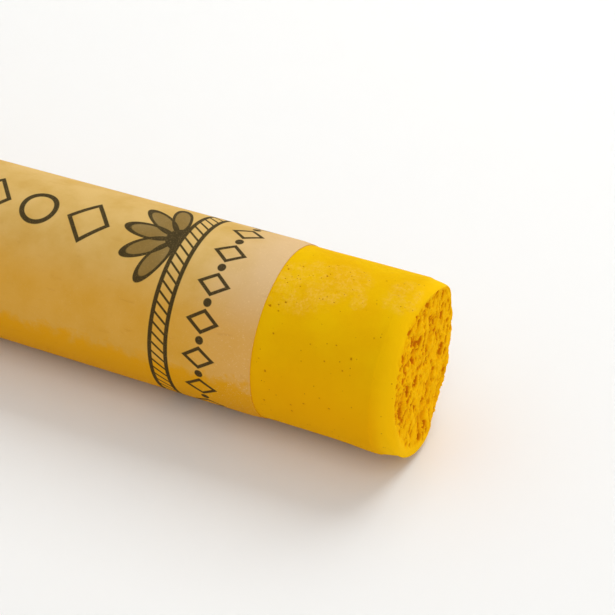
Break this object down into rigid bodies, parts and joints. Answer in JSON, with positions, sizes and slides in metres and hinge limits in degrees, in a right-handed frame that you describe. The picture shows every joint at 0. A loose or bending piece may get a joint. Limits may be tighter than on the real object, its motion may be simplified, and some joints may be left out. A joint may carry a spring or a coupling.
{
  "type": "soft pastel stick",
  "caption": "Round soft pastel stick with a broken, worn end, in a rolled paper wrapper that leaves both ends bare; it stands on its flat end.",
  "frame": {"origin": "centre of the flat end that the stick stands on", "axes": "+Z along the stick towards its broken end, +Y towards the side with the paper's glued lap"},
  "size_m": [0.0112, 0.0113, 0.0649],
  "materials": {
    "pastel": "matt, dusty pressed pigment",
    "wrapper_paper": "uncoated cream paper with dark print and pastel dust"
  },
  "bodies": {
    "root": {"pastel_stick": "pastel", "paper_wrapper": "wrapper_paper"}
  },
  "joints": []
}
